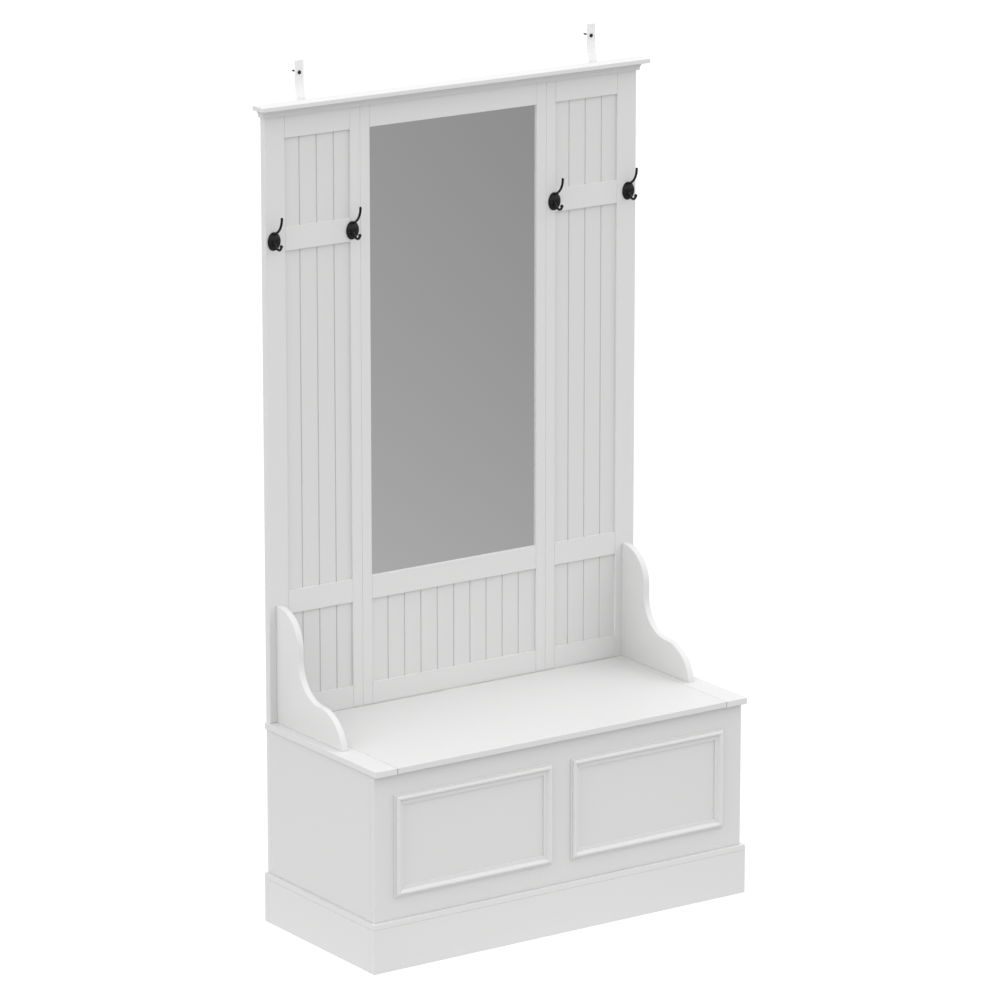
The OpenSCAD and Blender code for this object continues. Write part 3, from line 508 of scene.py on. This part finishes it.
def screwHeadTree():
    # a head with a cross recess on every point, each turned by its own angle
    tree, bench = newTree("screwHeads", {
        "Head Radius": "Float", "Neck Radius": "Float", "Head Height": "Float", "Dome": "Float",
        "Recess Span": "Float", "Recess Width": "Float", "Recess Depth": "Float", "Seed": "Int",
        "Finish": "Material"})
    points, radius, neck, height, dome, span, width, depth, seed, finish = bench.add(
        "NodeGroupInput", output=range(10))
    blank = bench.add("GeometryNodeMeshCone", {"fill_type": "NGON"}, {
        "Vertices": turned["headSides"], "Side Segments": turned["headRings"],
        "Fill Segments": turned["faceRings"], "Radius Top": radius, "Radius Bottom": neck, "Depth": height})
    x, y, z = bench.add("ShaderNodeSeparateXYZ", None, {0: bench.add("GeometryNodeInputPosition")},
                        output=range(3))
    out = bench.add("ShaderNodeMath", {"operation": "SQRT"}, {0: x * x + y * y}) / radius
    fall = out * out * out * dome * z / height * -1.0
    domed = bench.add("GeometryNodeSetPosition", None, {
        "Geometry": blank, "Offset": bench.add("ShaderNodeCombineXYZ", None, {2: fall})})
    bar = bench.add("GeometryNodeMeshCube", None, {
        "Size": bench.add("ShaderNodeCombineXYZ", None, {0: span, 1: width, 2: depth * 2.0})})
    lift = bench.add("ShaderNodeCombineXYZ", None, {2: height})
    head = domed
    for barTurn in (0, math.pi / 2):
        laid = bench.add("GeometryNodeTransform", None, {
            "Geometry": bar, "Translation": lift, "Rotation": (0, 0, barTurn)})
        head = bench.add("GeometryNodeMeshBoolean", {"operation": "DIFFERENCE", "solver": "EXACT"},
                         {"Mesh 1": head, "Mesh 2": laid})
    turn = bench.add("FunctionNodeRandomValue", {"data_type": "FLOAT"}, {2: 0.0, 3: math.pi, 8: seed},
                     output=1)
    setOnPoints(bench, points, head, finish, turn)
    return tree


def screwShankTree():
    # a core, its point and the thread that winds round both, on every point
    tree, bench = newTree("screwShanks", {
        "Core Radius": "Float", "Thread Radius": "Float", "Shank": "Float", "Point": "Float",
        "Pitch": "Float", "Finish": "Material"})
    points, core, crest, shank, tip, pitch, finish = bench.add("NodeGroupInput", output=range(7))
    toShank = bench.add("ShaderNodeCombineXYZ", None, {2: shank * -1.0})
    body = bench.add("GeometryNodeTransform", None, {
        "Geometry": bench.add("GeometryNodeMeshCylinder", {"fill_type": "NGON"},
                              {"Vertices": turned["shankSides"], "Radius": core, "Depth": shank}),
        "Translation": bench.add("ShaderNodeCombineXYZ", None, {2: shank / -2.0})})
    point = bench.add("GeometryNodeTransform", None, {
        "Geometry": bench.add("GeometryNodeMeshCone", {"fill_type": "NGON"}, {
            "Vertices": turned["shankSides"], "Side Segments": turned["pointRings"],
            "Radius Top": turned["pointTip"], "Radius Bottom": core, "Depth": tip}),
        "Translation": toShank, "Rotation": (math.pi, 0, 0)})
    profile = bench.add("GeometryNodeCurvePrimitiveCircle", {"mode": "RADIUS"},
                        {"Resolution": 3, "Radius": (crest - core) * turned["threadFill"]})
    shankWinding = bench.add("GeometryNodeCurveSpiral", None, {
        "Resolution": turned["threadSteps"], "Rotations": shank / pitch, "Start Radius": core,
        "End Radius": core, "Height": shank * -1.0})
    tipWinding = bench.add("GeometryNodeTransform", None, {
        "Geometry": bench.add("GeometryNodeCurveSpiral", None, {
            "Resolution": turned["threadSteps"], "Rotations": tip / pitch, "Start Radius": core,
            "End Radius": turned["threadTip"], "Height": tip * (-turned["threadReach"])}),
        "Translation": toShank})
    shankThread, tipThread = [
        bench.add("GeometryNodeCurveToMesh", None, {
            "Curve": winding, "Profile Curve": profile, "Fill Caps": True})
        for winding in (shankWinding, tipWinding)]
    screw = bench.add("GeometryNodeJoinGeometry", None, {"Geometry": (body, point, shankThread, tipThread)})
    setOnPoints(bench, points, screw, finish)
    return tree


screwHeads = screwHeadTree()
screwShanks = screwShankTree()


def screwPoints(name, places):
    # one vertex for each screw, with the way that its head faces
    mesh = bpy.data.meshes.new(name)
    mesh.from_pydata([spot for spot, way in places], [], [])
    facing = mesh.attributes.new("facing", "FLOAT_VECTOR", "POINT")
    for item, (spot, way) in zip(facing.data, places):
        item.vector = way
    return newPiece(name + "Points", mesh, None)


def driveScrews(name, tree, places, values, body, slot):
    source = screwPoints(name, places)
    addNodes(source, tree, {**values, "Finish": finishes[slotFinish[slot]]})
    piece = bakePiece(source, name, None)
    facing = piece.data.attributes.get("facing")
    if facing:
        piece.data.attributes.remove(facing)
    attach(piece, body)
    return piece


# pan heads on the hinges and stays, flat heads on the joining plates
panHead = {"Head Radius": 0.0027, "Neck Radius": 0.0027, "Head Height": 0.0011, "Dome": 0.0006,
           "Recess Span": 0.0029, "Recess Width": 0.0006, "Recess Depth": 0.0007}
flatHead = {"Head Radius": 0.0036, "Neck Radius": 0.0034, "Head Height": 0.0003, "Dome": 0.00012,
            "Recess Span": 0.0038, "Recess Width": 0.0008, "Recess Depth": 0.00026}

boxLeaf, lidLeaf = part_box("hinge_box_leaves"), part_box("hinge_lid_leaves")
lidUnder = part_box("seat_lid")[0].z
# three hinges, three screws in each leaf, the middle one set off from the other two
hingeSpots = {"length": 0.060, "fromEnd": 0.010, "leafThick": 0.001, "boxFoot": 0.008,
              "boxStagger": 0.008, "lidFoot": 0.007, "lidStagger": 0.006}
boxLeafFront = boxLeaf[1].y - hingeSpots["leafThick"]
lidLeafUnder = lidUnder - hingeSpots["leafThick"]
outerHinge = boxLeaf[1].x - hingeSpots["length"] / 2
boxPlaces, lidPlaces = [], []
for middle in (-outerHinge, 0.0, outerHinge):
    for step in (-1, 0, 1):
        setOff = 1 if step == 0 else 0
        x = middle + step * (hingeSpots["length"] / 2 - hingeSpots["fromEnd"])
        y = lidLeaf[0].y + hingeSpots["lidFoot"] + setOff * hingeSpots["lidStagger"]
        z = boxLeaf[0].z + hingeSpots["boxFoot"] + setOff * hingeSpots["boxStagger"]
        boxPlaces.append(((x, boxLeafFront, z), (0, -1, 0)))
        lidPlaces.append(((x, y, lidLeafUnder), (0, 0, -1)))
driveScrews("hingeScrewsBox", screwHeads, boxPlaces, {**panHead, "Seed": 3}, "carcass", "zinc_steel")
driveScrews("hingeScrewsLid", screwHeads, lidPlaces, {**panHead, "Seed": 5}, "lid", "zinc_steel")

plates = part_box("stay_plates")
plateSpots = {"thick": 0.0016, "screwRise": (0.034, 0.049)}
plateFace = plates[1].x - plateSpots["thick"]
plateMidY = (plates[0].y + plates[1].y) / 2
platePlaces = []
for side in (-1, 1):
    for rise in plateSpots["screwRise"]:
        platePlaces.append(((side * plateFace, plateMidY, plates[0].z + rise), (-side, 0, 0)))
driveScrews("stayPlateScrews", screwHeads, platePlaces, {**panHead, "Seed": 7}, "carcass", "zinc_steel")

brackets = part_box("lid_brackets")
bracketSpots = {"flangeHalf": 0.0088, "screwReach": 0.0095, "flangeThick": 0.0016}
flangeX = brackets[1].x - bracketSpots["flangeHalf"]
flangeUnder = lidUnder - bracketSpots["flangeThick"]
flangeMidY = (brackets[0].y + brackets[1].y) / 2
bracketPlaces = []
for side in (-1, 1):
    for step in (-1, 1):
        y = flangeMidY + step * bracketSpots["screwReach"]
        bracketPlaces.append(((side * flangeX, y, flangeUnder), (0, 0, -1)))
driveScrews("bracketScrews", screwHeads, bracketPlaces, {**panHead, "Seed": 11}, "lid", "zinc_steel")

# three plates a side: one behind the arm, and two on the seam between a side unit and the middle one
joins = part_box("join_plates")
joinSpots = {"halfWidth": 0.019, "halfHeight": 0.040, "outX": 0.012, "outZ": (0.012, 0.030)}
armX, seamX = joins[1].x - joinSpots["halfWidth"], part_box("inner_stile_right")[0].x
lowZ, highZ = joins[0].z + joinSpots["halfHeight"], joins[1].z - joinSpots["halfHeight"]
joinPlaces = []
for side in (-1, 1):
    for x, z in ((armX, lowZ), (seamX, lowZ), (seamX, highZ)):
        for stepX in (-1, 1):
            for outZ in joinSpots["outZ"]:
                for stepZ in (-1, 1):
                    spot = (side * x + stepX * joinSpots["outX"], joins[1].y, z + stepZ * outZ)
                    joinPlaces.append((spot, (0, 1, 0)))
driveScrews("joinPlateScrews", screwHeads, joinPlaces, {**flatHead, "Seed": 13}, "carcass", "zinc_steel")

hookHeads = {"Head Radius": 0.0032, "Neck Radius": 0.00175, "Head Height": 0.0022, "Dome": 0.0,
             "Recess Span": 0.0036, "Recess Width": 0.0007, "Recess Depth": 0.0012}
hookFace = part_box("hook_screws")
hookSpots = {"headFloor": 0.0016, "reach": 0.010}
hookPlaces = []
for index in hookNumbers:
    low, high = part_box(f"coat_hook_{index}")
    middleX = (low.x + high.x) / 2
    middleZ = (hookFace[0].z + hookFace[1].z) / 2
    for step in (-1, 1):
        spot = (middleX + step * hookSpots["reach"], high.y - hookSpots["headFloor"], middleZ)
        hookPlaces.append((spot, (0, -1, 0)))
hookScrews = driveScrews("hookScrewHeads", screwHeads, hookPlaces, {**hookHeads, "Seed": 17}, "carcass",
                         "black_screw")
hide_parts("hook_screws")

# the wall screws face the room, the strap screws face the wall
bigHead = {"Head Radius": 0.0042, "Neck Radius": 0.0042, "Head Height": 0.0024, "Dome": 0.0011,
           "Recess Span": 0.0044, "Recess Width": 0.0010, "Recess Depth": 0.0013}
wallShank = {"Core Radius": 0.0015, "Thread Radius": 0.0021, "Point": 0.004, "Pitch": 0.0019}
strapShank = {"Core Radius": 0.0015, "Thread Radius": 0.0019, "Point": 0.003, "Pitch": 0.0017}
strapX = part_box("wall_screws")[1].x - bigHead["Head Radius"]
endPlaces = {}
for end, way, seed in (("wall", -1, 19), ("strap", 1, 23)):
    low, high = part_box(end + "_screws")
    seat = high.y - bigHead["Head Height"] if way > 0 else low.y + bigHead["Head Height"]
    endPlaces[end] = [((side * strapX, seat, (low.z + high.z) / 2), (0, way, 0)) for side in (-1, 1)]
    driveScrews(end + "ScrewHeads", screwHeads, endPlaces[end], {**bigHead, "Seed": seed}, "carcass",
                "black_screw")
for end, shank in (("wall", wallShank), ("strap", strapShank)):
    low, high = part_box(end + "_screws")
    shank["Shank"] = high.y - low.y - bigHead["Head Height"] - shank["Point"]
    threads = driveScrews(end + "ScrewShanks", screwShanks, endPlaces[end], shank, "carcass", "black_screw")
    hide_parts(end + "_screws")
print("screws driven")


def strapLine(node):
    # the middle line in (y, z): flat on the back, an easy S to the wall plane, then upright
    low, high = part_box(node)
    inner, outer = low.y + strap["inset"], high.y - strap["inset"]
    crownTop = round(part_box("crown_board")[1].z, 4)  # to a tenth of a millimetre
    sweepFrom, sweepTo = crownTop - strap["sweepBelow"], crownTop + strap["sweepAbove"]
    line = []
    for step in range(strap["steps"] + 1):
        z = low.z + (high.z - low.z) * step / strap["steps"]
        t = min(max((z - sweepFrom) / (sweepTo - sweepFrom), 0), 1)
        ease = t * t * t * (t * (6 * t - 15) + 10)
        line.append(Vector((0, inner + (outer - inner) * ease, z)))
    return line


def lineLength(line):
    return sum((b - a).length for a, b in zip(line, line[1:]))


def strapSection():
    # two flat faces joined by rounded selvedges
    thick = strap["thick"] / 2
    flat = strap["width"] / 2 - thick
    section = []
    for side in (1, -1):
        for i in range(strap["acrossSteps"] + 1):
            section.append((side * flat * (2 * i / strap["acrossSteps"] - 1), -side * thick))
        for i in range(1, strap["selvedgeSteps"]):
            turn = math.pi * i / strap["selvedgeSteps"] - side * math.pi / 2
            section.append((side * flat + thick * math.cos(turn), thick * math.sin(turn)))
    return section


def wovenStrap(node, name):
    low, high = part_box(node)
    middleX = (low.x + high.x) / 2
    line, section = strapLine(node), strapSection()
    work = bmesh.new()
    cloth = work.loops.layers.uv.new("cloth")

    def weave(corners):
        # a face whose cloth coordinates are metres across and along the strap
        face = work.faces.new([vertex for vertex, across, along in corners])
        for loop, (vertex, across, along) in zip(face.loops, corners):
            loop[cloth].uv = (across, along)
        return face

    rings = []
    walked = 0.0
    for index, spot in enumerate(line):
        ahead = line[min(index + 1, len(line) - 1)] - line[max(index - 1, 0)]
        ahead.normalize()
        out = Vector((0, ahead.z, -ahead.y))  # square to the strap, towards the wall
        if index:
            walked += (spot - line[index - 1]).length
        ring = []
        for x, offset in section:
            bow = strap["bow"] * math.cos(math.pi * x / strap["width"]) * math.sin(walked * strap["bowRate"])
            corner = spot + Vector((middleX + x, 0, 0)) + out * (offset + bow)
            ring.append((work.verts.new(corner), x + strap["width"] / 2, walked))
        rings.append(ring)
    count = len(section)
    for ringA, ringB in zip(rings, rings[1:]):
        for i in range(count):
            weave([ringA[i], ringA[(i + 1) % count], ringB[(i + 1) % count], ringB[i]]).smooth = True
    for ring in (rings[0], rings[-1]):
        weave(ring)
    bmesh.ops.recalc_face_normals(work, faces=work.faces)
    mesh = bpy.data.meshes.new(name)
    work.to_mesh(mesh)
    work.free()
    piece = newPiece(name, mesh, finishes["strapWebbing"])
    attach(piece, "carcass")
    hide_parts(node)
    lineLength(line)
    print(name, "is", f"{lineLength(line):.4f}", "m long")


wovenStrap("wall_strap_left", "wovenStrapLeft")
wovenStrap("wall_strap_right", "wovenStrapRight")
print("straps woven")


# the white of the room is what the camera and the gloss see; the boards are lit by the levels below
studio = {
    "skyTop": 1.355,
    "skyMiddle": 2.66,
    # each window of light: its direction, how narrow it is and its strength
    "windows": [((-0.941, -0.188, 0.282), 4, 0.84), ((0.811, -0.487, 0.324), 4, 0.84),
                ((-0.97, -0.10, 0.22), 6, 1.10), ((0.10, -0.97, 0.22), 6, 0.565),
                ((0.707, 0.0, 0.707), 8, 1.13)],
    "floorLight": 0.68,
    "floorNear": 0.23,
    "nearReach": 1.5,
    "floorSeen": 0.88,
    "floorCatch": 0.15,
    "floorReach": 40.0,
    "floorHeight": -0.0002,
    # how bright the painted reflection in the mirror is
    "paintedReflectionShade": 0.545,
    "matFall": -0.2367,
    "matTilt": 0.15,
    "matLean": 0.69,
    "matTiltRange": (0.9, 1.08),
    "matRadius": 30.0,
    "matSides": 48,
    "matHeight": -0.0001,
}

world = bpy.data.worlds.new("studioSky")
bpy.context.scene.world = world
world.use_nodes = True
world.node_tree.nodes.clear()
sky = NodeBench(world.node_tree)


def seenRays(bench):
    # camera, glossy and transmitted rays see the even white room, and the rest find its lights
    seen = bench.add("ShaderNodeLightPath", output=("Is Camera Ray", "Is Glossy Ray", "Is Transmission Ray"))
    return bench.add("ShaderNodeMath", {"operation": "MINIMUM"}, {0: seen[0] + seen[1] + seen[2], 1: 1.0})


def windowGlow(bench, direction, towards, narrow, strength):
    # strongest towards its middle, and fading softly to its sides
    facing = bench.add("ShaderNodeVectorMath", {"operation": "DOT_PRODUCT"}, {0: direction, 1: towards},
                       output="Value")
    facing = bench.add("ShaderNodeClamp", None, {0: facing, 1: 0.0, 2: 1.0})
    return bench.add("ShaderNodeMath", {"operation": "POWER"}, {0: facing, 1: narrow}) * strength


direction = sky.add("ShaderNodeTexCoord", output="Generated")
level = sky.add("ShaderNodeSeparateXYZ", None, {0: direction}, output="Z")
upward = sky.add("ShaderNodeClamp", None, {0: level, 1: 0.0, 2: 1.0})
glowLevel = upward * (1.0 - upward) * studio["skyMiddle"] + upward * upward * upward * studio["skyTop"]
for towards, narrow, strength in studio["windows"]:
    glowLevel = glowLevel + windowGlow(sky, direction, towards, narrow, strength)
glow = sky.add("ShaderNodeBackground", None, {"Color": (1, 1, 1, 1), "Strength": glowLevel})
white = sky.add("ShaderNodeBackground", None, {"Color": (1, 1, 1, 1), "Strength": 1.0})
sky.add("ShaderNodeOutputWorld", None, {"Surface": sky.add("ShaderNodeMixShader", None, {
    0: seenRays(sky), 1: glow, 2: white})})

floorMaterial, floorBench = newFinish("paleFloor")
catch = floorBench.add("ShaderNodeBsdfDiffuse", None, {"Color": (studio["floorCatch"],) * 3 + (1,)})
shown = floorBench.add("ShaderNodeEmission", None, {"Color": (1, 1, 1, 1), "Strength": studio["floorSeen"]})
away = floorBench.add("ShaderNodeVectorMath", {"operation": "LENGTH"}, {0: place(floorBench)},
                      output="Value")
near = floorBench.add("ShaderNodeClamp", None, {0: 1.0 - away / studio["nearReach"], 1: 0.0, 2: 1.0})
bounce = floorBench.add("ShaderNodeEmission", None, {
    "Color": (1, 1, 1, 1), "Strength": near * near * studio["floorNear"] + studio["floorLight"]})
seenFloor = floorBench.add("ShaderNodeAddShader", None, {0: catch, 1: shown})
closeFinish(floorBench, floorBench.add("ShaderNodeMixShader", None, {
    0: seenRays(floorBench), 1: bounce, 2: seenFloor}))


def layFlat(name, corners, height, finish):
    mesh = bpy.data.meshes.new(name)
    mesh.from_pydata([(x, y, height) for x, y in corners], [], [tuple(range(len(corners)))])
    flat = newPiece(name, mesh, finish)
    return flat


reach = studio["floorReach"]
layFlat("studioFloor", [(-reach, -reach), (reach, -reach), (reach, reach), (-reach, reach)],
        studio["floorHeight"], floorMaterial)

# a painted reflection: a glowing grey disc on the floor that only reflections see, dimmer away from the
# middle and slanted across, so that the mirror shows a grey room and not a blank
paintedReflectionMaterial, matBench = newFinish("paintedReflectionMat")
spot = place(matBench)
spotX, spotY = matBench.add("ShaderNodeSeparateXYZ", None, {0: spot}, output=(0, 1))
spotAway = matBench.add("ShaderNodeVectorMath", {"operation": "LENGTH"}, {0: spot}, output="Value")
fade = matBench.add("ShaderNodeMath", {"operation": "POWER"}, {0: spotAway, 1: studio["matFall"]})
tiltLow, tiltHigh = studio["matTiltRange"]
tilt = matBench.add("ShaderNodeClamp", None, {
    0: 1.0 - (spotX + spotY * studio["matLean"]) * studio["matTilt"], 1: tiltLow, 2: tiltHigh})
# the painted reflection's grey: dimmer with distance and slanted across the disc
paintedReflectionTone = blendColours(matBench, fade * tilt * studio["paintedReflectionShade"], (0, 0, 0), (1, 1, 1))
closeFinish(matBench, matBench.add("ShaderNodeEmission", None, {"Color": paintedReflectionTone, "Strength": 1.0}))
matCorners = []
for i in range(studio["matSides"]):
    turn = math.tau * i / studio["matSides"]
    matCorners.append((studio["matRadius"] * math.cos(turn), studio["matRadius"] * math.sin(turn)))
mat = layFlat("paintedReflectionMat", matCorners, studio["matHeight"], paintedReflectionMaterial)
for ray in ("visible_camera", "visible_diffuse", "visible_shadow", "visible_transmission",
            "visible_volume_scatter"):
    setattr(mat, ray, False)
print("studio lit")


cameraSpot = {"place": (-7.30194, -10.66315, 4.37251), "yaw": 34.3753, "pitch": -14.8804, "roll": -0.0093,
              "lens": 218.464, "sensor": 36.0, "clipEnd": 200.0}
cameraData = bpy.data.cameras.new("camera")
cameraData.lens = cameraSpot["lens"]
cameraData.sensor_width = cameraSpot["sensor"]
cameraData.clip_end = cameraSpot["clipEnd"]
camera = bpy.data.objects.new("camera", cameraData)
bpy.context.scene.collection.objects.link(camera)
camera.location = cameraSpot["place"]
camera.rotation_euler = (math.radians(90 + cameraSpot["pitch"]), math.radians(cameraSpot["roll"]),
                         math.radians(-cameraSpot["yaw"]))
bpy.context.scene.camera = camera
bpy.context.scene.view_settings.view_transform = "Standard"
